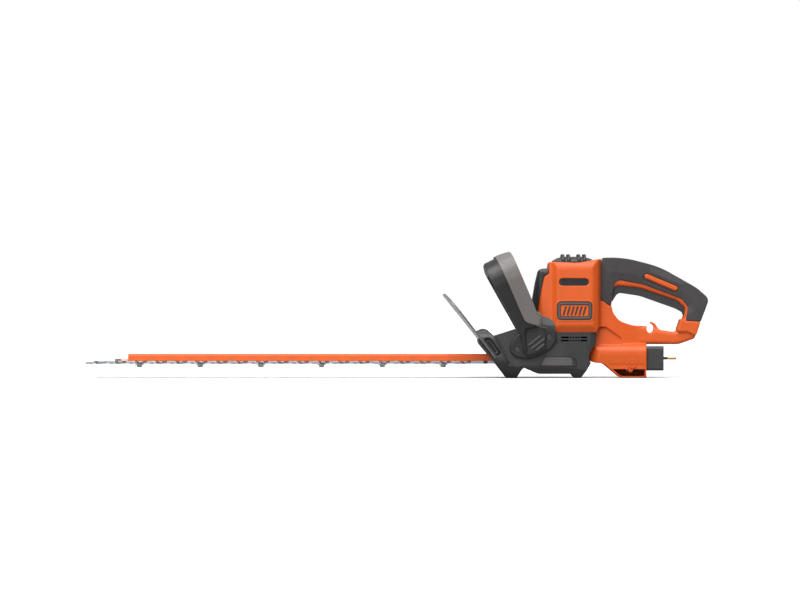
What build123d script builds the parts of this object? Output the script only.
"""Corded hedge trimmer, rebuilt piece by piece.

X runs along the tool with the blade tips at -X, Z is up, and the origin is under the middle of the
tool on the ground it stands on.  The operator's left side is -Y.  All sizes are millimetres.
"""

from build123d import *
import math
import os

os.makedirs("parts", exist_ok=True)

# ---------------------------------------------------------------- driving dimensions
FAR = 500.0                 # longer than any piece, for cutting and intersecting
WALL = 2.6                  # moulded casing wall
GAP = 0.3                   # between pieces that move past each other
RUN_GAP = 0.05              # radial play of a pin or shaft in its bore

TOOTH_PITCH = 29.3          # cutting teeth along the blade
FIRST_TOOTH_X = 96.0
TOOTH_COUNT = 19
STAGGER = TOOTH_PITCH / 8   # each blade is set off by this much, in opposite directions
STROKE = 4.0                # each blade travels this far either way
SPINE_HALF = 13.0
TOOTH_REACH = 30.0
BLADE_THICK = 2.0
LOWER_BLADE_Z = 20.3
UPPER_BLADE_Z = 22.5
BAR_Z = 24.8
BAR_THICK = 2.9
BAR_HALF = 10.4
COVER_TOP_Z = 34.5
COVER_HALF = 12.0
BOLT_PITCH = 3 * TOOTH_PITCH
LAST_BOLT_X = 67.7
BAR_BOLTS_X = [LAST_BOLT_X - BOLT_PITCH * i for i in range(6)]
CASE_BOLTS_X = [LAST_BOLT_X + BOLT_PITCH, 180.0]
BOLT_R = 2.5

MOTOR_X = 256.0             # motor shaft, vertical
GEAR_X = 216.0              # drive gear axle, vertical
GEAR_MODULE = 1.25
GEAR_TEETH = 52
PINION_TEETH = 12
ECCENTRIC_R = 9.0
SHAFT_R = 4.0

TOWER_HALF = 42.0
TAIL_HALF = 26.5
LOWER_HALF = 40.0
FRAME_HALF = 15.5
GRIP_HALF = 19.0
TRIGGER_HALF = 11.2
TRIGGER_ROOM_HALF = TRIGGER_HALF + 0.4
INLET_Z = 28.3
PIN_R = 2.0
PIN_LENGTH = 19.0
PIN_SPREAD = 9.3

TRIGGER_PIVOT = (412.2, 109.6)
TRIGGER_PIN_R = 1.6
BAIL_ORIGIN = (195.0, 0.0, 52.0)
BAIL_LEAN = math.radians(26.5)
BAIL_NORMAL = (-math.cos(BAIL_LEAN), 0.0, -math.sin(BAIL_LEAN))
BAIL_PLANE = Plane(origin=BAIL_ORIGIN, x_dir=(0, -1, 0), z_dir=BAIL_NORMAL)
BAIL_SIDE_PLANE = Plane(origin=BAIL_ORIGIN, x_dir=BAIL_NORMAL, z_dir=(0, 1, 0))
LEVER_PIVOT = (204.0, 62.0)


# ---------------------------------------------------------------- helpers
def outline(corners, plane=Plane.XZ, inset=0.0, hole=None):
    """Flat face through (u, v, corner radius) corners, shrunk by inset, with one optional hole."""
    with BuildSketch(plane) as sketch:
        with BuildLine():
            FilletPolyline(*[(u, v) for u, v, _ in corners], radius=[r for *_, r in corners], close=True)
        make_face()
        if hole:
            with BuildLine(mode=Mode.PRIVATE) as rim:
                FilletPolyline(*[(u, v) for u, v, _ in hole], radius=[r for *_, r in hole], close=True)
            make_face(rim.edges(), mode=Mode.SUBTRACT)
        if inset:
            offset(amount=-inset, kind=Kind.INTERSECTION)
    return sketch.sketch


def mirrored(half):
    """Corners of a left-right symmetric outline from those of its positive half."""
    return half + [(-u, v, r) for u, v, r in reversed(half)]


def plan_mirrored(half):
    """The same for a plan outline, whose second coordinate is across the tool."""
    return half + [(u, -v, r) for u, v, r in reversed(half)]


def sculpt(side, plan, section, inset=0.0):
    """Solid with the given side, plan and end views, every wall moved in by inset."""
    with BuildPart() as body:
        extrude(outline(side, Plane.XZ, inset), amount=FAR, both=True)
        extrude(outline(plan, Plane.XY, inset), amount=FAR, both=True, mode=Mode.INTERSECT)
        extrude(outline(section, Plane.YZ, inset), amount=FAR, both=True, mode=Mode.INTERSECT)
    return body.part


def pillow(corners, half_width, edge_round, inset=0.0, hole=None):
    """Flat-sided body with its side outline's edges rounded over."""
    with BuildPart() as body:
        extrude(outline(corners, Plane.XZ, inset, hole), amount=half_width - inset, both=True)
        if edge_round > inset:
            rims = body.faces().filter_by(Axis.Y).edges()
            fillet(rims, edge_round - inset)
    return body.part


def slab(corners, y_from, y_to, plane=Plane.XZ):
    """Side outline extruded from y_from to y_to on the +Y side and mirrored to the -Y side."""
    with BuildPart() as body:
        extrude(outline(corners, plane.offset(-y_from)), amount=-(y_to - y_from))
        mirror(about=Plane.XZ)
    return body.part


def half_of(whole, keep):
    """One clamshell half: Keep.TOP is the -Y (left) half."""
    with BuildPart() as half:
        add(whole)
        split(bisect_by=Plane.XZ, keep=keep)
    return half


def post(x, y, z_from, z_to, radius):
    """Upright cylinder."""
    with BuildPart() as body:
        with Locations((x, y, z_from)):
            Cylinder(radius, z_to - z_from, align=(Align.CENTER, Align.CENTER, Align.MIN))
    return body.part


def cross_pin(x, z, half_length, radius):
    """Cylinder lying across the tool."""
    with BuildPart() as body:
        with Locations(Plane(origin=(x, 0, z), z_dir=(0, 1, 0))):
            Cylinder(radius, 2 * half_length)
    return body.part


def side_posts(x, z, y_from, y_to, radius):
    """Round post across each side of the tool, between two distances from its middle plane."""
    with BuildPart() as pair:
        with Locations(Plane(origin=(x, y_from, z), z_dir=(0, 1, 0))):
            Cylinder(radius, y_to - y_from, align=(Align.CENTER, Align.CENTER, Align.MIN))
        mirror(about=Plane.XZ)
    return pair.part


def block(x, y, z):
    """Box between the given (low, high) pairs."""
    with BuildPart() as body:
        with Locations((sum(x) / 2, sum(y) / 2, sum(z) / 2)):
            Box(x[1] - x[0], y[1] - y[0], z[1] - z[0])
    return body.part


# ---------------------------------------------------------------- casing outlines
TOWER_SIDE = [
    (220.5, 167.8, 3.5), (262, 166.0, 40), (300, 173.2, 0), (300, 66, 0), (229, 65.3, 18),
    (209, 78, 14), (201.8, 96, 9), (213, 147, 4), (220, 150.5, 1), (219, 158, 2),
]
TOWER_PLAN = plan_mirrored([
    (199, 22, 8), (208, 35.5, 8), (224, 36.5, 5), (232, TOWER_HALF, 6), (283, TOWER_HALF, 6),
    (291, 35, 8), (295, 20, 0),
])
TOWER_SECTION = mirrored([(33, 62, 4), (TOWER_HALF, 76, 11), (TOWER_HALF, 175, 20)])

FRAME_SIDE = [
    (286, 49, 0), (286, 170.4, 0), (324, 171.5, 120), (378, 157.8, 120), (431, 127.2, 60),
    (448.2, 113.2, 8), (434.5, 66, 20), (431, 56.8, 4), (408, 48.5, 30),
]
HAND_OPENING = [
    (311.0, 104, 8), (314.6, 133.5, 7), (352, 129.8, 60), (405, 111.8, 15), (417.3, 101, 7),
    (412, 77, 9), (404, 66.3, 6), (382, 69.3, 40), (361, 75.2, 40), (340, 76.0, 40),
    (322, 82.5, 20), (312.2, 95, 12),
]
NECK_SIDE = [
    (285, 49, 0), (285, 113, 0), (299, 110.5, 2), (306, 105, 3), (311.2, 102.5, 2), (312.4, 95, 12),
    (322, 82.5, 20), (340, 76.2, 40), (352, 75, 0), (352, 49, 0),
]
NECK_PLAN = plan_mirrored([(284, 21, 0), (312, 20, 40), (352, 15.2, 0)])
NECK_SECTION = mirrored([(21, 40, 0), (21, 120, 0)])
TAIL_SIDE = [
    (361, 0, 1), (361, 49.5, 1), (287, 49.5, 1), (278.8, 41, 4), (278.6, 27.5, 7), (284, 22.2, 5),
    (298, 21, 16), (323, 0, 15),
]
TAIL_PLAN = plan_mirrored([(276, 18, 6), (292, TAIL_HALF, 12), (361, TAIL_HALF, 1)])
TAIL_SECTION = mirrored([(22.5, 0, 8), (TAIL_HALF, 33, 30), (TAIL_HALF, 49.5, 13)])
COLLAR_SIDE = [
    (404.2, 66.5, 3), (410.6, 85.6, 1.5), (417.5, 82.6, 3), (439.6, 81.0, 1.2), (432.8, 60.4, 3),
    (420, 67, 10),
]
LOWER_SIDE = [
    (141, 60.4, 1), (172, 70.2, 20), (199, 79, 8), (200, 95.5, 1), (206, 96, 0), (240, 72, 0),
    (289.5, 72, 1), (288.8, 58, 8), (288, 50, 1), (280.5, 41, 2), (277, 30, 6), (280.5, 22, 4),
    (273.5, 10, 4), (266, 0, 4), (257, 0, 4), (252, 6, 3), (204, 6, 20), (184, 14.6, 8),
    (164, 18.5, 0), (152, 38, 0),
]
LOWER_PLAN = plan_mirrored([
    (138, 37, 0), (180, LOWER_HALF, 30), (240, LOWER_HALF, 30), (278, 36.5, 20), (291, 28, 0),
])
LOWER_SECTION = mirrored([(28, -0.5, 5), (LOWER_HALF, 16, 9), (LOWER_HALF, 76, 8), (33, 97, 0)])

# ---------------------------------------------------------------- casing solids
tower = sculpt(TOWER_SIDE, TOWER_PLAN, TOWER_SECTION)
tower_cavity = sculpt(TOWER_SIDE, TOWER_PLAN, TOWER_SECTION, WALL)
frame_loop = pillow(FRAME_SIDE, FRAME_HALF, 5.0, hole=HAND_OPENING)
frame_cavity = pillow(FRAME_SIDE, FRAME_HALF, 5.0, WALL, hole=HAND_OPENING)
neck = sculpt(NECK_SIDE, NECK_PLAN, NECK_SECTION)
neck_cavity = sculpt(NECK_SIDE, NECK_PLAN, NECK_SECTION, WALL)
tail = sculpt(TAIL_SIDE, TAIL_PLAN, TAIL_SECTION)
tail_cavity = sculpt(TAIL_SIDE, TAIL_PLAN, TAIL_SECTION, WALL)
collar = pillow(COLLAR_SIDE, 19.5, 1.2)

# ---------------------------------------------------------------- openings and details of the casing
TRIGGER_SLOT = [
    (309.4, 103, 1), (311.4, 139.5, 6), (352, 137.6, 40), (411, 119.5, 10), (423.0, 105, 5),
    (418.4, 88, 2), (400, 96, 0), (340, 115, 0),
]
PANEL_SIDE = [
    (289, 46.5, 3), (289, 69, 4), (293, 73.2, 3), (303, 73.2, 4), (326, 57, 3), (326, 46.5, 2),
]
PANEL_Y = 16.4
HOOK_SIDE = [
    (372.7, 69, 0), (371.9, 75.6, 2), (366.6, 79.4, 0.8), (367.9, 81.8, 0.8), (374.6, 78.6, 4),
    (378, 72.6, 3), (384, 68, 0),
]
RETAINER = (367.0, 70.5, 5.5)                    # cord retainer notch: x, z, radius
SIDE_SLOT = ((239.3, 138.2), (271.7, 138.2), 5.2)
INLAY = ((361.5, 147.0), (403.0, 129.5), 3.2)
INLAY_POCKET = ((362.0, 145.0), (402.0, 128.0), 5.4)
BADGE_SIDE = [(230.5, 83, 6), (230.5, 111, 6), (282.5, 111, 6), (282.5, 83, 6)]
HOUSING_SCREWS = [
    (214, 112), (227.6, 154), (283, 158), (300, 92), (345, 62), (425, 71), (300, 33), (338, 12),
]
LOWER_SCREWS = [(160, 50), (262, 14), (213, 66)]
FOOT_SCREWS = [(173.3, 42.3), (219.6, 60.2)]     # hold the front handle's flanges
BOSS_R = 4.0
SCREW_R = 1.6
SCREW_HEAD_R = 3.0
SCREW_HEAD_THICK = 2.0
SCREW_HEAD_Y = 8.0
DRIVER_SLOT = (4.0, 0.7, 1.2)                    # length, width and depth of each arm of the cross


def obround(ends, y_from, y_to, grow=0.0):
    """Round-ended bar between two side-view points, on both sides of the tool."""
    (x0, z0), (x1, z1), radius = ends
    length = math.hypot(x1 - x0, z1 - z0)
    angle = math.degrees(math.atan2(z1 - z0, x1 - x0))
    with BuildPart() as body:
        with BuildSketch(Plane.XZ.offset(-y_from)):
            with Locations(((x0 + x1) / 2, (z0 + z1) / 2)):
                SlotCenterToCenter(length, 2 * (radius + grow), rotation=angle)
        extrude(amount=-(y_to - y_from))
        mirror(about=Plane.XZ)
    return body.part


def screw_bosses(places, casing, head_y):
    """Posts across the casing for its screws, and the holes that the screws go in."""
    with BuildPart() as bosses:
        for x, z in places:
            with Locations(Plane(origin=(x, 0, z), z_dir=(0, 1, 0))):
                Cylinder(BOSS_R, FAR)
        add(casing, mode=Mode.INTERSECT)
    with BuildPart() as holes:
        for x, z in places:
            with Locations(Plane(origin=(x, 0, z), z_dir=(0, 1, 0))):
                Cylinder(SCREW_R, 2 * head_y)
            with Locations(Plane(origin=(x, head_y, z), z_dir=(0, 1, 0))):
                Cylinder(SCREW_HEAD_R + GAP, FAR, align=(Align.CENTER, Align.CENTER, Align.MIN))
    return bosses.part, holes.part


def screws(places, head_y):
    """Pan-head screws from the +Y side, heads sunk in the casing."""
    with BuildPart() as body:
        for x, z in places:
            with Locations(Plane(origin=(x, 0, z), z_dir=(0, 1, 0))):
                Cylinder(SCREW_R, 2 * head_y)
            with Locations(Plane(origin=(x, head_y, z), z_dir=(0, 1, 0))):
                Cylinder(SCREW_HEAD_R, SCREW_HEAD_THICK, align=(Align.CENTER, Align.CENTER, Align.MIN))
            with Locations(Plane(origin=(x, head_y + SCREW_HEAD_THICK, z), z_dir=(0, 1, 0))):
                arm, width, depth = DRIVER_SLOT
                Box(arm, width, depth, mode=Mode.SUBTRACT)
                Box(width, arm, depth, mode=Mode.SUBTRACT)
    return body


# ---------------------------------------------------------------- orange housing
with BuildPart() as housing_block:
    add(tower)
    add(frame_loop)
    add(neck)
    add(tail)
    add(collar)
housing_bosses, housing_holes = screw_bosses(HOUSING_SCREWS, housing_block.part, SCREW_HEAD_Y)
motor_mouth = post(MOTOR_X, 0, 60, 72, 31.0)
vent_mouth = block((232, 278), (-22, 22), (158, 172))
trigger_pin_solid = cross_pin(*TRIGGER_PIVOT, FRAME_HALF - 1.5, TRIGGER_PIN_R)
retainer_hole = cross_pin(*RETAINER[:2], FAR, RETAINER[2])
lead_passage = block((312, 328), (2.6, 9.4), (44, 56))
inlet_recess = block((348, 362), (-19.6, 19.6), (10.9, 45.1))
badge_recess = slab(BADGE_SIDE, TOWER_HALF - 1.0, TOWER_HALF + 2)

with BuildPart() as retainer_lining:
    add(cross_pin(*RETAINER[:2], FRAME_HALF, RETAINER[2] + WALL))
    add(frame_loop, mode=Mode.INTERSECT)
with BuildPart() as housing:
    add(housing_block.part)
    add(slab(HOOK_SIDE, 0, 6.0))
    add(tower_cavity, mode=Mode.SUBTRACT)
    add(frame_cavity, mode=Mode.SUBTRACT)
    add(neck_cavity, mode=Mode.SUBTRACT)
    add(tail_cavity, mode=Mode.SUBTRACT)
    add(slab(PANEL_SIDE, PANEL_Y - WALL, PANEL_Y))
    add(slab(PANEL_SIDE, PANEL_Y, FAR), mode=Mode.SUBTRACT)
    add(housing_bosses)
    add(retainer_lining.part)
    add(housing_holes, mode=Mode.SUBTRACT)
    add(lead_passage, mode=Mode.SUBTRACT)
    add(obround(INLAY, FRAME_HALF - 2, GRIP_HALF + 0.3))
    extrude(outline(TRIGGER_SLOT), amount=TRIGGER_ROOM_HALF, both=True, mode=Mode.SUBTRACT)
    add(motor_mouth, mode=Mode.SUBTRACT)
    add(vent_mouth, mode=Mode.SUBTRACT)
    add(retainer_hole, mode=Mode.SUBTRACT)
    add(inlet_recess, mode=Mode.SUBTRACT)
    add(trigger_pin_solid, mode=Mode.SUBTRACT)
    add(obround(SIDE_SLOT, TOWER_HALF - 8, TOWER_HALF + 2), mode=Mode.SUBTRACT)
    add(badge_recess, mode=Mode.SUBTRACT)
housing_left = half_of(housing.part, Keep.TOP)
housing_right = half_of(housing.part, Keep.BOTTOM)

# ---------------------------------------------------------------- grip overmould
GRIP_SIDE = [
    (299, 173.6, 1.5), (328, 174.2, 150), (380, 160.6, 130), (434, 130, 60), (451.8, 114.2, 10),
    (439.8, 81.4, 1), (418, 82.9, 1), (421.2, 103.5, 9), (411, 114.5, 15), (356, 135.2, 80),
    (316.5, 142.6, 9), (309.2, 104.2, 1), (296.5, 110.5, 5), (294.5, 118, 5), (294.5, 165, 8),
]
with BuildPart() as grip:
    add(pillow(GRIP_SIDE, GRIP_HALF, 0))
    add(tower, mode=Mode.SUBTRACT)
    add(neck, mode=Mode.SUBTRACT)
    add(collar, mode=Mode.SUBTRACT)
    add(frame_loop, mode=Mode.SUBTRACT)
    add(obround(INLAY_POCKET, FRAME_HALF + 1.2, GRIP_HALF + 2), mode=Mode.SUBTRACT)
    add(obround(INLAY, FRAME_HALF - 2, GRIP_HALF + 2), mode=Mode.SUBTRACT)
grip_cover_left = half_of(grip.part, Keep.TOP)
grip_cover_right = half_of(grip.part, Keep.BOTTOM)

# ---------------------------------------------------------------- rear trigger and its switch
TRIGGER_SIDE = [
    (311.0, 108.5, 0.5), (320.3, 123.2, 8), (352, 118.6, 60), (404, 100.2, 12), (413.2, 95.2, 3),
    (415.2, 89.2, 0.6), (417.6, 97, 3), (418.0, 110.0, 5), (406.5, 117.0, 6), (353, 133.6, 60),
    (345, 135.6, 1), (345, 137.5, 0.6), (335, 137.5, 0.6), (335, 136.4, 1), (313.8, 136.2, 4),
]
SWITCH_BUTTON_X = 340.0
REAR_SWITCH_Z = 145.0
SPRING_X = 372.0
SPRING_FOOT_Z = 127.0
SPRING_TOP_Z = 147.0
SPRING_COIL_R = 3.4
SPRING_WIRE_R = 0.5

with BuildPart() as trigger:
    extrude(outline(TRIGGER_SIDE), amount=TRIGGER_HALF, both=True)
    add(cross_pin(*TRIGGER_PIVOT, FAR, TRIGGER_PIN_R + RUN_GAP), mode=Mode.SUBTRACT)
    add(post(SPRING_X, 0, SPRING_FOOT_Z - GAP, FAR, SPRING_COIL_R + 1.2), mode=Mode.SUBTRACT)

with BuildPart() as trigger_pin:
    add(trigger_pin_solid)

with BuildPart() as trigger_spring:
    with BuildLine():
        Helix(2.6, SPRING_TOP_Z - SPRING_FOOT_Z - 2 * SPRING_WIRE_R - GAP, SPRING_COIL_R,
              center=(SPRING_X, 0, SPRING_FOOT_Z + SPRING_WIRE_R + GAP / 2))
    with BuildSketch(Plane(origin=(SPRING_X + SPRING_COIL_R, 0, SPRING_FOOT_Z + SPRING_WIRE_R + GAP / 2),
                           z_dir=(0, 1, 0.12))):
        Circle(SPRING_WIRE_R)
    sweep(is_frenet=True)

with BuildPart() as spring_seat:
    add(post(SPRING_X, 0, SPRING_TOP_Z, 158, SPRING_COIL_R + 1.4))
    add(frame_cavity, mode=Mode.INTERSECT)

with BuildPart() as rear_switch_body:
    add(block((326, 354), (-5.5, 5.5), (REAR_SWITCH_Z, 161)))
    chamfer(rear_switch_body.edges().filter_by(Axis.Y), 1.0)
    add(post(SWITCH_BUTTON_X, 0, REAR_SWITCH_Z - 1, 157, PIN_R + 0.1), mode=Mode.SUBTRACT)
    for x in (330.5, 349.5):
        add(block((x - 1.6, x + 1.6), (-0.4, 0.4), (160, 161.6)))

with BuildPart() as rear_switch_button:
    add(post(SWITCH_BUTTON_X, 0, 137.9, 151.5, PIN_R))
    fillet(rear_switch_button.faces().sort_by(Axis.Z)[0].edges(), 0.8)

# ---------------------------------------------------------------- top vent, front cover, insets
VENT_SIDE = [
    (226, 163, 0), (226, 169.2, 1), (233, 173.2, 6), (242, 175.1, 16), (268, 174.9, 16),
    (278, 172.8, 8), (283.6, 170.4, 1), (283.6, 163, 0),
]
VENT_SECTION = mirrored([(28, 160, 0), (28, 169.5, 6), (20, 176.4, 14)])
RIB_SECTION = mirrored([(29.2, 165.4, 2), (29.2, 172.5, 5), (21.5, 178.7, 6)])
RIB_X = (240.4, 248.6, 263.4, 271.6)
RIB_THICK = 4.0
FRONT_COVER_SIDE = [
    (221, 158.4, 0), (206.4, 157.3, 6.5), (201.6, 138, 40), (197, 113, 20), (199.8, 93.5, 2),
    (212, 93.5, 0), (226, 150, 0),
]
FRONT_COVER_PLAN = plan_mirrored([(195, 22, 9), (203.5, 36.0, 10), (226, 37, 0)])

with BuildPart() as vent_plug:
    add(block((232.3, 277.7), (-21.7, 21.7), (160, 170)))
with BuildPart() as top_vent:
    extrude(outline(VENT_SIDE), amount=FAR, both=True)
    extrude(outline(VENT_SECTION, Plane.YZ), amount=FAR, both=True, mode=Mode.INTERSECT)
    for x in RIB_X:
        extrude(outline(RIB_SECTION, Plane.YZ.offset(x)), amount=RIB_THICK / 2, both=True)
    add(tower, mode=Mode.SUBTRACT)
    add(vent_plug.part)
    add(block((235, 275), (-19, 19), (150, 171.5)), mode=Mode.SUBTRACT)
    for x in (244.5, 256, 267.5):
        with Locations((x, 0, 172)):
            Box(2.4, 30, 12, mode=Mode.SUBTRACT)

with BuildPart() as front_cover:
    add(sculpt(FRONT_COVER_SIDE, FRONT_COVER_PLAN, mirrored([(37, 80, 0), (37, 164, 16)])))
    extrude(outline(TOWER_SIDE), amount=FAR, both=True, mode=Mode.SUBTRACT)

side_vents = obround(SIDE_SLOT, TOWER_HALF - 4.6, TOWER_HALF - 2.6)
with BuildPart() as side_vent_pair:
    add(side_vents)
    for z in (135.2, 138.2, 141.2):
        add(obround(((240, z), (271, z), 0.7), TOWER_HALF - 2.6, TOWER_HALF - 1.4))
side_vent_left = half_of(side_vent_pair.part, Keep.TOP)
side_vent_right = half_of(side_vent_pair.part, Keep.BOTTOM)

with BuildPart() as badge_pair:
    add(slab([(231, 83.5, 5.5), (231, 110.5, 5.5), (282, 110.5, 5.5), (282, 83.5, 5.5)],
             TOWER_HALF - 1.0, TOWER_HALF + 0.6))
    add(slab([(236, 88, 2), (236, 106, 2), (277, 106, 2), (277, 88, 2)],
             TOWER_HALF, TOWER_HALF + 2), mode=Mode.SUBTRACT)
badge_plate_left = half_of(badge_pair.part, Keep.TOP)
badge_plate_right = half_of(badge_pair.part, Keep.BOTTOM)

# ---------------------------------------------------------------- lower gear housing
SHOULDER_SIDE = [(229, 49.6, 4), (284, 49.6, 0), (292, 80, 0), (229, 80, 0)]
GRILLE_SIDE = [(235, 51.8, 1.5), (235, 63.6, 1.5), (277, 63.6, 1.5), (277, 51.8, 1.5)]
GRILLE_Y = 34.2
LABEL_SIDE = [(208, 18.8, 1), (214.5, 30.5, 3), (250, 30.5, 5), (257, 26.5, 2), (257, 18.8, 1)]
LABEL_Y = LOWER_HALF - 1.2

lower_block = sculpt(LOWER_SIDE, LOWER_PLAN, LOWER_SECTION)
with BuildPart() as lower_room:
    add(sculpt(LOWER_SIDE, LOWER_PLAN, LOWER_SECTION, WALL - 0.1))
    add(slab([(226.6, 47.4, 6), (286, 47.4, 0), (294, 90, 0), (226.6, 90, 0)], GRILLE_Y - 1, FAR),
        mode=Mode.SUBTRACT)
lower_cavity = lower_room.part
lower_bosses, lower_holes = screw_bosses(LOWER_SCREWS, lower_block, SCREW_HEAD_Y)
bar_mouth = block((110, 190), (-COVER_HALF - 3, COVER_HALF + 3), (14.2, 36.0))
with BuildPart() as lower_housing:
    add(lower_block)
    add(slab(SHOULDER_SIDE, GRILLE_Y + 1.4, FAR), mode=Mode.SUBTRACT)
    add(lower_cavity, mode=Mode.SUBTRACT)
    add(slab(GRILLE_SIDE, GRILLE_Y - 3, FAR), mode=Mode.SUBTRACT)
    add(slab(LABEL_SIDE, LABEL_Y, FAR), mode=Mode.SUBTRACT)
    add(lower_bosses)
    add(lower_holes, mode=Mode.SUBTRACT)
    for x, z in FOOT_SCREWS:
        add(side_posts(x, z, LOWER_HALF - 10, LOWER_HALF + 10, SCREW_R), mode=Mode.SUBTRACT)
    add(bar_mouth, mode=Mode.SUBTRACT)
    add(housing_block.part, mode=Mode.SUBTRACT)
    add(front_cover.part, mode=Mode.SUBTRACT)
lower_housing_left = half_of(lower_housing.part, Keep.TOP)
lower_housing_right = half_of(lower_housing.part, Keep.BOTTOM)

# ---------------------------------------------------------------- guard base and hand guard
GUARD_SIDE = [
    (115.6, 66.8, 1.5), (127.5, 72.6, 9), (141, 60.4, 2), (152, 38, 0), (163, 18, 0.4),
    (184, 14.5, 0), (181.5, 13.5, 1), (173, 0, 3), (158.5, 0, 5), (141, 23, 0), (118.6, 49.5, 2),
]
GUARD_SECTION = mirrored([(33, -0.5, 8), (56, 24, 12), (56, 60, 14), (44, 74, 8)])
TROUGH_SIDE = [(125, 57.5, 2), (135, 57.5, 2), (150.5, 36.5, 2), (146, 31.5, 2)]
RIDGE_SIDE = [(131, 55, 1), (134.4, 55, 1), (148, 36.8, 1), (145.4, 34.6, 1)]
SHEET_FOOT = (140.2, 0.0, 27.0)
SHEET_DIR = (-0.6210, 0.0, 0.7838)
SHEET_LENGTH = 118.0
SHEET_THICK = 2.6
SHEET_BOW = 3.2
SHEET_HALF = 75.0
SHEET_FACE = mirrored([(60, 0, 3), (67, 34, 30), (SHEET_HALF, 70, 40), (SHEET_HALF, SHEET_LENGTH, 34)])

sheet_face_plane = Plane(origin=SHEET_FOOT, x_dir=(0, -1, 0), z_dir=(-SHEET_DIR[2], 0, SHEET_DIR[0]))
sheet_end_plane = Plane(origin=SHEET_FOOT, x_dir=(0, 1, 0), z_dir=SHEET_DIR)
with BuildPart() as hand_guard:
    with BuildSketch(sheet_end_plane):
        with BuildLine():
            near_edge = ThreePointArc((-SHEET_HALF - 2, -SHEET_BOW), (0, 0), (SHEET_HALF + 2, -SHEET_BOW))
            offset(near_edge, amount=SHEET_THICK, side=Side.RIGHT)
        make_face()
    extrude(amount=SHEET_LENGTH + 1, both=True)
    extrude(outline(SHEET_FACE, sheet_face_plane), amount=20, both=True, mode=Mode.INTERSECT)
    add(block((100, 160), (-COVER_HALF - 1, COVER_HALF + 1), (0, COVER_TOP_Z + 1)), mode=Mode.SUBTRACT)
with BuildPart() as guard_base:
    extrude(outline(GUARD_SIDE), amount=FAR, both=True)
    extrude(outline(GUARD_SECTION, Plane.YZ), amount=FAR, both=True, mode=Mode.INTERSECT)
    add(slab(TROUGH_SIDE, 51, FAR), mode=Mode.SUBTRACT)
    add(slab(RIDGE_SIDE, 50, 54.6))
    add(bar_mouth, mode=Mode.SUBTRACT)
    add(lower_block, mode=Mode.SUBTRACT)
    add(hand_guard.part, mode=Mode.SUBTRACT)

# ---------------------------------------------------------------- front bail handle
LEVER_LOOP = mirrored([(53, -20, 0), (79, 94, 30), (79, 133.6, 30)])
LEVER_EYE = mirrored([(41.4, -20, 0), (56, 90, 10), (54.8, 109.5, 17)])
LEVER_BACK, LEVER_FRONT = -30.0, -6.5
SHELL_BACK, SHELL_FRONT = -14.0, 14.5
LEVER_WALL = 2.0
LEVER_PROUD = 2.4           # lever skin over the shell: its wall and the gap under it
LEVER_SIDE = [              # (towards the front, up the handle)
    (-6.5, 136, 0), (-6.5, 95, 60), (-4.2, 50, 30), (-3.6, 30, 12), (-19.5, 15.5, 2),
    (-24.2, 23, 4), (-26.9, 60, 60), (-30, 121, 30), (-29.6, 131, 4), (-14, 133.6, 30), (-7, 134, 0),
]
SHELL_SIDE = [
    (-14, 136, 0), (-14, 17, 3), (-23, 12.5, 4), (-22.5, 1, 8), (-14, -12, 3), (-14, -22, 0),
    (15.5, -14, 3), (17.2, -6, 8), (11.0, 13, 15), (10.6, 26, 30), (14.4, 117, 20), (11.6, 131.4, 7),
    (0, 132.2, 6),
]
FLANGE_CENTRE = (196.5, 51.5)
FLANGE_TILT = 21.0
FLANGE_AXES = (35.0, 21.0)
FLANGE_Y = (LOWER_HALF, 45.5)
HANDLE_HEAD_Y = 43.2        # where the flange screws' heads seat
HANDLE_HEAD_R = 3.3
HANDLE_SCREW_Y = (35.0, 45.0)


def bail_loop(loop, eye, back, front, inset=0.0):
    """Bar that follows the handle's loop between two distances from its middle plane."""
    with BuildPart() as body:
        extrude(outline(loop, BAIL_PLANE.offset(back), inset), amount=front - back)
        extrude(outline(eye, BAIL_PLANE.offset(back), -inset), amount=front - back, mode=Mode.SUBTRACT)
    return body.part


def bail_post(across, up, n_from, n_to, radius):
    """Round post along the handle's front-to-back direction; across is towards the left leg."""
    with BuildPart() as body:
        with BuildSketch(BAIL_PLANE.offset(n_from)):
            with Locations((across, up)):
                Circle(radius)
        extrude(amount=n_to - n_from)
    return body.part


def switch_case(n_from, play):
    """Block of the front switch, from n_from to its front face, grown by play across the handle."""
    with BuildPart() as body:
        with BuildSketch(BAIL_PLANE.offset(n_from)):
            with Locations((SWITCH_ACROSS, SWITCH_UP)):
                Rectangle(2 * (SWITCH_SIZE[0] + play), 2 * (SWITCH_SIZE[1] + play))
        extrude(amount=SWITCH_FRONT - n_from)
    return body.part


def both_legs(solid):
    """The solid and its mirror image on the other leg."""
    with BuildPart() as pair:
        add(solid)
        mirror(about=Plane.XZ)
    return pair.part


LEVER_CAVITY_SIDE = [
    (12, 150, 0), (12, 5, 0), (-18, 5, 0), (-22.2, 24, 4), (-24.9, 60, 60), (-27.8, 121, 30),
    (-27.4, 128.9, 2), (-20.0, 131.7, 0), (-20.0, 150, 0),
]
EAR_ENDS = (LEVER_PIVOT, (203.4, 90.0), 5.0)
EAR_Y = (47.0, 50.2)
PIVOT_PIN_R = 2.5
POCKET_SIDE = [(184, 71, 4), (213, 76, 6), (224, 58, 8), (206, 35, 6), (189.5, 33.5, 4), (185.5, 50, 8)]
POCKET_Y = 52.0
SWITCH_ACROSS, SWITCH_UP = 61.0, 56.0
SWITCH_SIZE = (4.0, 9.0)    # half width and half height
SWITCH_FRONT = 5.0
FRONT_BUTTON_R = 1.5

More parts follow.
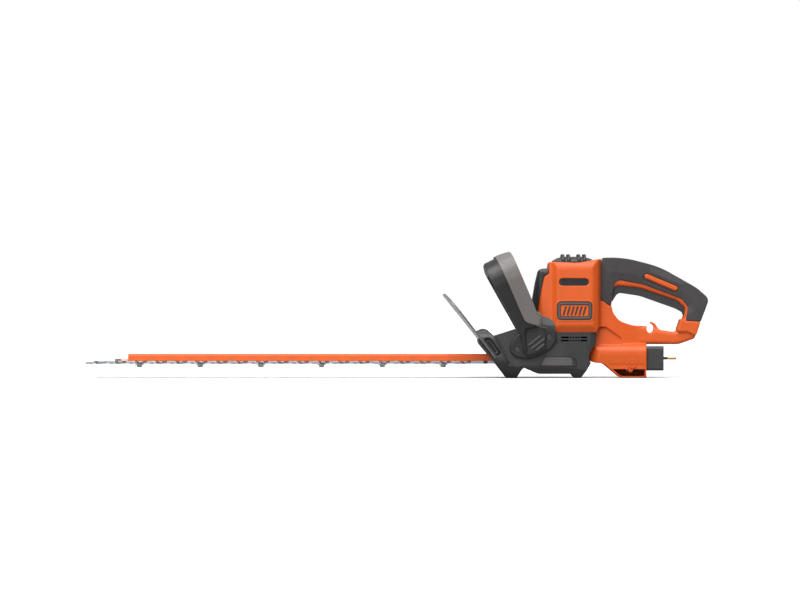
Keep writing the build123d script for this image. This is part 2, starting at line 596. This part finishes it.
pivot_pins_solid = side_posts(*LEVER_PIVOT, 45.2, POCKET_Y - 1.0, PIVOT_PIN_R)
with BuildPart() as lever_room:
    add(bail_loop(LEVER_LOOP, LEVER_EYE, LEVER_BACK - 2, LEVER_FRONT + 12, LEVER_WALL))
    extrude(outline(LEVER_CAVITY_SIDE, BAIL_SIDE_PLANE), amount=FAR, both=True, mode=Mode.INTERSECT)
with BuildPart() as front_switch_lever:
    add(bail_loop(LEVER_LOOP, LEVER_EYE, LEVER_BACK - 2, LEVER_FRONT + 4))
    extrude(outline(LEVER_SIDE, BAIL_SIDE_PLANE), amount=FAR, both=True, mode=Mode.INTERSECT)
    add(lever_room.part, mode=Mode.SUBTRACT)
    add(obround(EAR_ENDS, *EAR_Y))
    add(cross_pin(*LEVER_PIVOT, FAR, PIVOT_PIN_R + RUN_GAP), mode=Mode.SUBTRACT)
    add(bail_post(SWITCH_ACROSS, SWITCH_UP, -26.5, -15.6, 2.6))

with BuildPart() as flange:
    with BuildSketch(Plane(origin=(FLANGE_CENTRE[0], -FLANGE_Y[0], FLANGE_CENTRE[1]),
                           x_dir=(1, 0, 0), z_dir=(0, -1, 0))):
        Ellipse(*FLANGE_AXES, rotation=FLANGE_TILT)
    extrude(amount=FLANGE_Y[1] - FLANGE_Y[0])
    chamfer(flange.faces().sort_by(Axis.Y)[0].edges(), 1.2)
with BuildPart() as pocket_ridges:
    for start, end in (((191, 47), (207, 60)), ((195, 42), (213, 56)), ((202, 40), (216, 51))):
        add(obround((start, end, 0.8), POCKET_Y - 7, POCKET_Y + 0.7))
    extrude(outline(SHELL_SIDE, BAIL_SIDE_PLANE), amount=FAR, both=True, mode=Mode.INTERSECT)
with BuildPart() as handle_bail:
    add(bail_loop(LEVER_LOOP, LEVER_EYE, LEVER_BACK, SHELL_FRONT + 4, LEVER_PROUD))
    extrude(outline(SHELL_SIDE, BAIL_SIDE_PLANE), amount=FAR, both=True, mode=Mode.INTERSECT)
    add(both_legs(flange.part))
    add(slab(POCKET_SIDE, POCKET_Y, FAR), mode=Mode.SUBTRACT)
    add(pocket_ridges.part)
    add(obround(EAR_ENDS, EAR_Y[0] - GAP, EAR_Y[1] + GAP, grow=1.5), mode=Mode.SUBTRACT)
    add(pivot_pins_solid, mode=Mode.SUBTRACT)
    add(switch_case(SHELL_BACK - 1, 0.2), mode=Mode.SUBTRACT)
    for x, z in FOOT_SCREWS:
        add(cross_pin(x, z, FAR, SCREW_R), mode=Mode.SUBTRACT)
        add(side_posts(x, z, HANDLE_HEAD_Y, FAR, HANDLE_HEAD_R + GAP), mode=Mode.SUBTRACT)
with BuildPart() as lever_pivot_pins:
    add(pivot_pins_solid)
with BuildPart() as front_switch_body:
    add(switch_case(-9, 0))
    add(bail_post(SWITCH_ACROSS, SWITCH_UP, -10, -2.5, FRONT_BUTTON_R + 0.1), mode=Mode.SUBTRACT)
with BuildPart() as front_switch_button:
    add(bail_post(SWITCH_ACROSS, SWITCH_UP, -15.2, -5, FRONT_BUTTON_R))
with BuildPart() as handle_screws:
    for x, z in FOOT_SCREWS:
        add(side_posts(x, z, HANDLE_SCREW_Y[0], HANDLE_HEAD_Y, SCREW_R))
        add(side_posts(x, z, HANDLE_HEAD_Y, HANDLE_SCREW_Y[1], HANDLE_HEAD_R))
with BuildPart() as housing_screws:
    add(screws(HOUSING_SCREWS + LOWER_SCREWS, SCREW_HEAD_Y).part)

# ---------------------------------------------------------------- exhaust grilles and label plates
with BuildPart() as grille_pair:
    add(slab(GRILLE_SIDE, GRILLE_Y - 1, GRILLE_Y + 0.8))
    for z in ((57.3, 59.9), (52.9, 55.3)):
        for x in ((237, 248.6), (250, 252.4), (254, 256.2), (257.8, 260), (261.6, 264), (265.4, 275)):
            add(block(x, (-60, 60), z), mode=Mode.SUBTRACT)
exhaust_grille_left = half_of(grille_pair.part, Keep.TOP)
exhaust_grille_right = half_of(grille_pair.part, Keep.BOTTOM)
with BuildPart() as label_pair:
    add(slab(LABEL_SIDE, LABEL_Y, LABEL_Y + 0.9))
    add(lower_block, mode=Mode.INTERSECT)
label_plate_left = half_of(label_pair.part, Keep.TOP)
label_plate_right = half_of(label_pair.part, Keep.BOTTOM)

# ---------------------------------------------------------------- blades, bar and cover
TOOTH_BASE_HALF = 8.4
TOOTH_TIP_HALF = 2.5
BLADE_TAIL_HALF = 11.0
YOKE_ROOM = (17.5, 13.5)    # half sizes of the opening that an eccentric turns in
YOKE_RIM = 5.0
BAR_FRONT_X = -407.0
BAR_REAR_X = 186.0
COVER_FRONT_X = -387.5
COVER_REAR_X = 150.0
COVER_WALL = 1.5
WASHER_R = 6.5
WASHER_Z = 18.7
NUT_Z = 15.5
NUT_ACROSS_FLATS = 8.0
HEAD_R = 4.4
HEAD_THICK = 3.4
BAR_TOP_Z = BAR_Z + BAR_THICK


def toothed_blade(shift, nose_x, nose_half, z):
    """Double-sided reciprocating blade with bolt slots and a yoke round its eccentric."""
    side = [(GEAR_X, BLADE_TAIL_HALF), (132, BLADE_TAIL_HALF), (126, SPINE_HALF)]
    for i in range(TOOTH_COUNT):
        x = FIRST_TOOTH_X - i * TOOTH_PITCH + shift
        side += [(x + TOOTH_BASE_HALF, SPINE_HALF), (x + TOOTH_TIP_HALF, TOOTH_REACH),
                 (x - TOOTH_TIP_HALF, TOOTH_REACH), (x - TOOTH_BASE_HALF, SPINE_HALF)]
    side.append((nose_x, nose_half))
    with BuildPart() as blade:
        with BuildSketch(Plane.XY.offset(z)):
            with BuildLine():
                Polyline(*side, *[(x, -y) for x, y in reversed(side)], close=True)
            make_face()
            with Locations((GEAR_X, 0)):
                RectangleRounded(2 * (YOKE_ROOM[0] + YOKE_RIM), 2 * (YOKE_ROOM[1] + YOKE_RIM), 9)
                RectangleRounded(2 * YOKE_ROOM[0], 2 * YOKE_ROOM[1], 6, mode=Mode.SUBTRACT)
            with Locations([(x, 0) for x in BAR_BOLTS_X + CASE_BOLTS_X]):
                SlotCenterToCenter(2 * STROKE + 1.0, 2 * (BOLT_R + GAP), mode=Mode.SUBTRACT)
        extrude(amount=BLADE_THICK)
    return blade


lower_blade = toothed_blade(-STAGGER, -450.0, 3.5, LOWER_BLADE_Z)
upper_blade = toothed_blade(STAGGER, -437.5, 9.0, UPPER_BLADE_Z)

all_bolts = [(x, 0) for x in BAR_BOLTS_X + CASE_BOLTS_X]
with BuildPart() as support_bar:
    with BuildSketch(Plane.XY.offset(BAR_Z)):
        with BuildLine():
            FilletPolyline((BAR_REAR_X, -BAR_HALF), (BAR_REAR_X, BAR_HALF), (BAR_FRONT_X + 9, BAR_HALF),
                           (BAR_FRONT_X, 4), (BAR_FRONT_X, -4), (BAR_FRONT_X + 9, -BAR_HALF),
                           radius=[1, 1, 6, 3, 3, 6], close=True)
        make_face()
        with Locations(all_bolts):
            Circle(BOLT_R, mode=Mode.SUBTRACT)
    extrude(amount=BAR_THICK)

cover_length = COVER_REAR_X - COVER_FRONT_X
with BuildPart() as bar_cover:
    with BuildSketch(Plane.YZ.offset(COVER_FRONT_X)):
        with BuildLine():
            FilletPolyline((-COVER_HALF, BAR_Z), (COVER_HALF, BAR_Z), (COVER_HALF, COVER_TOP_Z),
                           (-COVER_HALF, COVER_TOP_Z), radius=[0, 0, 3, 3], close=True)
        make_face()
    extrude(amount=cover_length)
    with BuildSketch(Plane.YZ.offset(COVER_FRONT_X + COVER_WALL)):
        with BuildLine():
            FilletPolyline((-BAR_HALF, BAR_TOP_Z), (BAR_HALF, BAR_TOP_Z),
                           (BAR_HALF, COVER_TOP_Z - COVER_WALL), (-BAR_HALF, COVER_TOP_Z - COVER_WALL),
                           radius=[0, 0, 2, 2], close=True)
        make_face()
    extrude(amount=cover_length, mode=Mode.SUBTRACT)
    add(block((COVER_FRONT_X - 5, COVER_REAR_X + 5), (-BAR_HALF, BAR_HALF), (BAR_Z - 1, BAR_TOP_Z)),
        mode=Mode.SUBTRACT)

with BuildPart() as blade_bolts:
    with Locations([(x, y, BAR_TOP_Z) for x, y in all_bolts]):
        Cylinder(HEAD_R, HEAD_THICK, align=(Align.CENTER, Align.CENTER, Align.MIN))
    with BuildSketch(Plane.XY.offset(BAR_TOP_Z + HEAD_THICK - 1.8)):
        with Locations(all_bolts):
            RegularPolygon(2.3, 6)
    extrude(amount=3, mode=Mode.SUBTRACT)
    with Locations([(x, y, NUT_Z - 0.6) for x, y in all_bolts]):
        Cylinder(BOLT_R, BAR_TOP_Z - NUT_Z + 0.6, align=(Align.CENTER, Align.CENTER, Align.MIN))
with BuildPart() as blade_washers:
    with BuildSketch(Plane.XY.offset(WASHER_Z)):
        with Locations(all_bolts):
            Circle(WASHER_R)
            Circle(BOLT_R, mode=Mode.SUBTRACT)
    extrude(amount=LOWER_BLADE_Z - GAP - WASHER_Z)
with BuildPart() as blade_nuts:
    with BuildSketch(Plane.XY.offset(NUT_Z)):
        with Locations(all_bolts):
            RegularPolygon(NUT_ACROSS_FLATS / 2, 6, major_radius=False, rotation=30)
            Circle(BOLT_R, mode=Mode.SUBTRACT)
    extrude(amount=WASHER_Z - NUT_Z)

# ---------------------------------------------------------------- gearbox
PLATE_Z = (16.8, 19.8)
GEAR_Z = (33.0, 41.0)
COVER_PLATE_Z = (43.0, 46.8)
CUP_R = 34.7
CUP_WALL = 2.2
ADDENDUM = 0.8 * GEAR_MODULE
DEDENDUM = 1.2 * GEAR_MODULE
FLANK = math.tan(math.radians(20))
TOOTH_SHARE = 0.42          # of the pitch; the rest is the space, so the mesh has backlash
ECCENTRIC_HUB_R = 12.0
GEAR_HUB_R = 5.2
GEAR_HOLES = (22.0, 6, 5.0)  # pitch radius, count and radius of the lightening holes
BASE_MIDDLE_X = 223.0
BASE_SIZE = 66.0
BASE_POSTS = [(x, y, 8.6) for x in (210, 246) for y in (-20, 20)]
BASE_POST_R = 3.5
COLLAR_TOP_Z = 50.0
LOWER_BEARING_R = 11.0
SHIELD_DEPTH = 0.5
BEARING_RIM = 1.8


def gear_profile(teeth, phase):
    """Straight-flanked external gear outline about the sketch origin."""
    pitch_r = GEAR_MODULE * teeth / 2
    half = TOOTH_SHARE * math.pi * GEAR_MODULE / 2
    points = []
    for i in range(teeth):
        middle = 2 * math.pi * i / teeth + phase
        for rise, sign in ((-DEDENDUM, -1), (ADDENDUM, -1), (ADDENDUM, 1), (-DEDENDUM, 1)):
            r = pitch_r + rise
            angle = middle + sign * (half - rise * FLANK) / pitch_r
            points.append((r * math.cos(angle), r * math.sin(angle)))
    Polyline(*points, close=True)


with BuildPart() as drive_gear:
    with BuildSketch(Plane((GEAR_X, 0, GEAR_Z[0]))):
        with BuildLine():
            gear_profile(GEAR_TEETH, 0.0)
        make_face()
        with PolarLocations(*GEAR_HOLES[:2]):
            Circle(GEAR_HOLES[2], mode=Mode.SUBTRACT)
    extrude(amount=GEAR_Z[1] - GEAR_Z[0])
    add(post(GEAR_X, 0, UPPER_BLADE_Z + BLADE_THICK, GEAR_Z[0], ECCENTRIC_HUB_R))
    add(post(GEAR_X, 0, LOWER_BLADE_Z, GEAR_Z[0], GEAR_HUB_R))
    add(post(GEAR_X, STROKE, UPPER_BLADE_Z, UPPER_BLADE_Z + BLADE_THICK, ECCENTRIC_R))
    add(post(GEAR_X, -STROKE, LOWER_BLADE_Z, LOWER_BLADE_Z + BLADE_THICK, ECCENTRIC_R))
    add(post(GEAR_X, 0, 0, FAR, SHAFT_R + RUN_GAP), mode=Mode.SUBTRACT)

with BuildPart() as gearbox_base:
    with BuildSketch(Plane.XY.offset(PLATE_Z[0])):
        with Locations((BASE_MIDDLE_X, 0)):
            RectangleRounded(BASE_SIZE, BASE_SIZE, 10)
    extrude(amount=PLATE_Z[1] - PLATE_Z[0])
    with Locations(BASE_POSTS):
        Cylinder(BASE_POST_R, PLATE_Z[0] - BASE_POSTS[0][2], align=(Align.CENTER, Align.CENTER, Align.MIN))
    add(post(GEAR_X, 0, 0, FAR, SHAFT_R), mode=Mode.SUBTRACT)
with BuildPart() as gearbox_cover:
    with BuildSketch(Plane.XY.offset(PLATE_Z[1])):
        with Locations((GEAR_X, 0)):
            Circle(CUP_R + CUP_WALL)
        with Locations((MOTOR_X, 0)):
            Circle(LOWER_BEARING_R + 4)
        make_hull()
    extrude(amount=COVER_PLATE_Z[1] - PLATE_Z[1])
    with BuildSketch(Plane.XY.offset(PLATE_Z[1])):
        with Locations((GEAR_X, 0)):
            Circle(CUP_R)
        with Locations((MOTOR_X, 0)):
            Circle(LOWER_BEARING_R)
    extrude(amount=COVER_PLATE_Z[0] - PLATE_Z[1], mode=Mode.SUBTRACT)
    add(post(MOTOR_X, 0, COVER_PLATE_Z[0], COLLAR_TOP_Z, LOWER_BEARING_R + 2.4))
    add(post(MOTOR_X, 0, COVER_PLATE_Z[0], FAR, LOWER_BEARING_R), mode=Mode.SUBTRACT)
    add(post(GEAR_X, 0, COVER_PLATE_Z[0], FAR, SHAFT_R), mode=Mode.SUBTRACT)
    blade_mouth = block((170, GEAR_X), (-20, 20), (PLATE_Z[1] - 1, 32))
    add(blade_mouth, mode=Mode.SUBTRACT)
with BuildPart() as gear_axle:
    add(post(GEAR_X, 0, PLATE_Z[0], COVER_PLATE_Z[1], SHAFT_R))


def ball_bearing(z, width, bore_r, outer_r):
    """Shielded bearing: one ring with a shallow groove for the shield on each face."""
    with BuildPart() as bearing:
        with BuildSketch(Plane.XY.offset(z)):
            with Locations((MOTOR_X, 0)):
                Circle(outer_r)
                Circle(bore_r + RUN_GAP, mode=Mode.SUBTRACT)
        extrude(amount=width)
        for face_z in (z, z + width - SHIELD_DEPTH):
            with BuildSketch(Plane.XY.offset(face_z)):
                with Locations((MOTOR_X, 0)):
                    Circle(outer_r - BEARING_RIM)
                    Circle(bore_r + BEARING_RIM, mode=Mode.SUBTRACT)
            extrude(amount=SHIELD_DEPTH, mode=Mode.SUBTRACT)
    return bearing


lower_bearing = ball_bearing(COVER_PLATE_Z[0], 7.0, SHAFT_R, LOWER_BEARING_R)

# ---------------------------------------------------------------- motor
CORE_Z = (78.0, 118.0)
COIL_Z = (70.5, 125.5)
FAN_Z = (51.5, 65.0)
FAN_R = 25.5
FAN_BLADES = 11
FAN_DISC = 1.6
COMMUTATOR_Z = (128.0, 141.0)
COMMUTATOR_R = 12.0
CORE_R = 19.5
CORE_SLOTS = 12
WINDING_R = 17.0
COIL_R = (21.5, 28.0)
BRUSH_Z = 134.5
BRUSH_SECTION = 6.0
BRUSH_LENGTH = 12.0
BRUSH_GAP = 0.25            # between a brush's curved end and the commutator
STATOR_BORE_R = 20.2
HOLDER_Z = (144.0, 148.0)
PINION_Z = (33.5, 42.0)
UPPER_SHAFT_R = 3.5
SHAFT_STEP_Z = 142.0
SHAFT_TOP_Z = 154.5
UPPER_BEARING_Z = 148.0
UPPER_BEARING_R = 9.5


def motor_ring(z_from, z_to, outer_r, inner_r):
    """Ring about the motor shaft."""
    with BuildPart() as ring:
        with BuildSketch(Plane((MOTOR_X, 0, z_from))):
            Circle(outer_r)
            Circle(inner_r, mode=Mode.SUBTRACT)
        extrude(amount=z_to - z_from)
    return ring.part


with BuildPart() as armature_shaft:
    with BuildSketch(Plane((MOTOR_X, 0, PINION_Z[0]))):
        with BuildLine():
            gear_profile(PINION_TEETH, math.pi + math.pi / PINION_TEETH)
        make_face()
    extrude(amount=PINION_Z[1] - PINION_Z[0])
    add(post(MOTOR_X, 0, PINION_Z[1], SHAFT_STEP_Z, SHAFT_R))
    add(post(MOTOR_X, 0, SHAFT_STEP_Z, SHAFT_TOP_Z, UPPER_SHAFT_R))
upper_bearing = ball_bearing(UPPER_BEARING_Z, 6.0, UPPER_SHAFT_R, UPPER_BEARING_R)
with BuildPart() as armature_core:
    add(motor_ring(*CORE_Z, CORE_R, SHAFT_R))
    with BuildSketch(Plane((MOTOR_X, 0, CORE_Z[0]))):
        with PolarLocations(CORE_R - 0.5, CORE_SLOTS):
            Circle(1.3)
    extrude(amount=CORE_Z[1] - CORE_Z[0], mode=Mode.SUBTRACT)
with BuildPart() as armature_windings:
    for z_from, z_to in ((COIL_Z[0] + 1, CORE_Z[0]), (CORE_Z[1], COIL_Z[1])):
        add(motor_ring(z_from, z_to, WINDING_R, SHAFT_R))
    rims = armature_windings.edges().filter_by(GeomType.CIRCLE)
    chamfer(rims.filter_by(lambda rim: rim.radius > WINDING_R - 1), 1.5)
with BuildPart() as commutator:
    add(motor_ring(*COMMUTATOR_Z, COMMUTATOR_R, SHAFT_R))
with BuildPart() as fan:
    add(motor_ring(FAN_Z[0], FAN_Z[0] + FAN_DISC, FAN_R, SHAFT_R))
    with BuildSketch(Plane((MOTOR_X, 0, FAN_Z[0] + FAN_DISC))):
        Circle(8.0)
        with PolarLocations(16.0, FAN_BLADES):
            Rectangle(17.5, 1.4)
        Circle(SHAFT_R, mode=Mode.SUBTRACT)
    extrude(amount=FAN_Z[1] - FAN_Z[0] - FAN_DISC)

with BuildPart() as field_coils:
    add(motor_ring(*COIL_Z, COIL_R[1], COIL_R[0]))
    add(block((MOTOR_X - 13, MOTOR_X + 13), (-FAR, FAR), (0, FAR)), mode=Mode.SUBTRACT)
with BuildPart() as stator_core:
    with BuildSketch(Plane((MOTOR_X, 0, CORE_Z[0]))):
        RectangleRounded(64, 60, 8)
        Circle(STATOR_BORE_R, mode=Mode.SUBTRACT)
    extrude(amount=CORE_Z[1] - CORE_Z[0])
    add(field_coils.part, mode=Mode.SUBTRACT)
with BuildPart() as brush_holders:
    for side in (-1, 1):
        with Locations((MOTOR_X + side * 23.0, 0, BRUSH_Z)):
            Box(18.0, BRUSH_SECTION + 3, BRUSH_SECTION + 3)
            Box(18.0, BRUSH_SECTION, BRUSH_SECTION, mode=Mode.SUBTRACT)
        holder_top_z = BRUSH_Z + BRUSH_SECTION / 2 + 1.5
        with Locations((MOTOR_X + side * 26.0, 0, holder_top_z)):
            Box(8.0, BRUSH_SECTION, HOLDER_Z[0] - holder_top_z,
                align=(Align.CENTER, Align.CENTER, Align.MIN))
with BuildPart() as carbon_brushes:
    for side in (-1, 1):
        with Locations((MOTOR_X + side * 18.3, 0, BRUSH_Z)):
            Box(BRUSH_LENGTH, BRUSH_SECTION, BRUSH_SECTION)
    add(motor_ring(*COMMUTATOR_Z, COMMUTATOR_R + BRUSH_GAP, SHAFT_R), mode=Mode.SUBTRACT)
with BuildPart() as bearing_holder:
    with BuildSketch(Plane((MOTOR_X, 0, HOLDER_Z[0]))):
        RectangleRounded(62, 64, 9)
        Circle(6.0, mode=Mode.SUBTRACT)
    extrude(amount=HOLDER_Z[1] - HOLDER_Z[0])
    add(motor_ring(HOLDER_Z[1], UPPER_BEARING_Z + 6.0, UPPER_BEARING_R + 3, UPPER_BEARING_R))
    add(screw_bosses(HOUSING_SCREWS[1:3], housing_block.part, SCREW_HEAD_Y)[0], mode=Mode.SUBTRACT)

# ---------------------------------------------------------------- inlet plug and internal leads
INLET_WIDTH = 40.0
INLET_HEIGHT = 35.0
TAIL_END_X = 361.0
BLOCK_END_X = 386.0
SLEEVE_END_X = 392.0
PIN_NECK_R = 1.6
LEAD_R = 1.6
LEAD_BEND = 6.0
SUPPLY_LEAD = [(350, 6, 34), (338, 6, 34), (324, 6, 46), (308, 6, 60), (292.4, 6, 78), (292.4, 6, 148),
               (304, 3, 156), (326, 3, 156)]
MOTOR_LEAD = [(326, -3, 152), (306, -3, 152), (296, -3, 146), (295, -3, 134.5), (288, -3, 134.5)]


def along_x(x_from, x_to, y, radius):
    """Round bar along the tool at the inlet's height."""
    with BuildPart() as bar:
        with BuildSketch(Plane.YZ.offset(x_from)):
            with Locations((y, INLET_Z)):
                Circle(radius)
        extrude(amount=x_to - x_from)
    return bar.part


def lead(route):
    """Insulated wire along straight runs joined by arcs."""
    with BuildPart() as wire:
        with BuildLine() as path:
            FilletPolyline(*route, radius=LEAD_BEND)
        with BuildSketch(Plane(origin=path.line @ 0, z_dir=path.line % 0)):
            Circle(LEAD_R)
        sweep(path=path.line)
    return wire.part


with BuildPart() as inlet_pins:
    for y in (-PIN_SPREAD, PIN_SPREAD):
        add(along_x(380, BLOCK_END_X, y, PIN_NECK_R))
        add(along_x(BLOCK_END_X, SLEEVE_END_X, y, PIN_NECK_R))
        add(along_x(SLEEVE_END_X, BLOCK_END_X + PIN_LENGTH, y, PIN_R))
    fillet(inlet_pins.faces().filter_by(Axis.X).group_by(Axis.X)[-1].edges(), 0.9)
with BuildPart() as pin_sleeves:
    for y in (-PIN_SPREAD, PIN_SPREAD):
        add(along_x(384.2, SLEEVE_END_X, y, PIN_R))
    add(inlet_pins.part, mode=Mode.SUBTRACT)
with BuildPart() as inlet_block:
    with BuildSketch(Plane((TAIL_END_X, 0, (10.5 + 45.5) / 2), x_dir=(0, 1, 0), z_dir=(1, 0, 0))):
        RectangleRounded(INLET_WIDTH, INLET_HEIGHT, 4.0)
    extrude(amount=BLOCK_END_X - TAIL_END_X)
    add(block((350, 361), (-19.4, 19.4), (11.1, 44.9)))
    add(block((384.2, 390), (-17.4, 17.4), (13.5, 42.5)), mode=Mode.SUBTRACT)
    add(inlet_pins.part, mode=Mode.SUBTRACT)
with BuildPart() as power_leads:
    add(lead(SUPPLY_LEAD))
    add(lead(MOTOR_LEAD))

pieces = {
    "housing_left": housing_left,
    "housing_right": housing_right,
    "grip_cover_left": grip_cover_left,
    "grip_cover_right": grip_cover_right,
    "trigger": trigger,
    "trigger_pin": trigger_pin,
    "trigger_spring": trigger_spring,
    "spring_seat": spring_seat,
    "rear_switch_body": rear_switch_body,
    "rear_switch_button": rear_switch_button,
    "top_vent": top_vent,
    "front_cover": front_cover,
    "side_vent_left": side_vent_left,
    "side_vent_right": side_vent_right,
    "badge_plate_left": badge_plate_left,
    "badge_plate_right": badge_plate_right,
    "lower_housing_left": lower_housing_left,
    "lower_housing_right": lower_housing_right,
    "guard_base": guard_base,
    "hand_guard": hand_guard,
    "handle_bail": handle_bail,
    "front_switch_lever": front_switch_lever,
    "lever_pivot_pins": lever_pivot_pins,
    "front_switch_body": front_switch_body,
    "front_switch_button": front_switch_button,
    "handle_screws": handle_screws,
    "housing_screws": housing_screws,
    "exhaust_grille_left": exhaust_grille_left,
    "exhaust_grille_right": exhaust_grille_right,
    "label_plate_left": label_plate_left,
    "label_plate_right": label_plate_right,
    "lower_blade": lower_blade,
    "upper_blade": upper_blade,
    "support_bar": support_bar,
    "bar_cover": bar_cover,
    "blade_bolts": blade_bolts,
    "blade_washers": blade_washers,
    "blade_nuts": blade_nuts,
    "drive_gear": drive_gear,
    "gearbox_base": gearbox_base,
    "gearbox_cover": gearbox_cover,
    "gear_axle": gear_axle,
    "lower_bearing": lower_bearing,
    "upper_bearing": upper_bearing,
    "armature_shaft": armature_shaft,
    "armature_core": armature_core,
    "armature_windings": armature_windings,
    "commutator": commutator,
    "fan": fan,
    "field_coils": field_coils,
    "stator_core": stator_core,
    "brush_holders": brush_holders,
    "carbon_brushes": carbon_brushes,
    "bearing_holder": bearing_holder,
    "inlet_block": inlet_block,
    "inlet_pins": inlet_pins,
    "pin_sleeves": pin_sleeves,
    "power_leads": power_leads,
}
for name, piece in pieces.items():
    piece.part.label = name
    export_step(piece.part, f"parts/{name}.step")
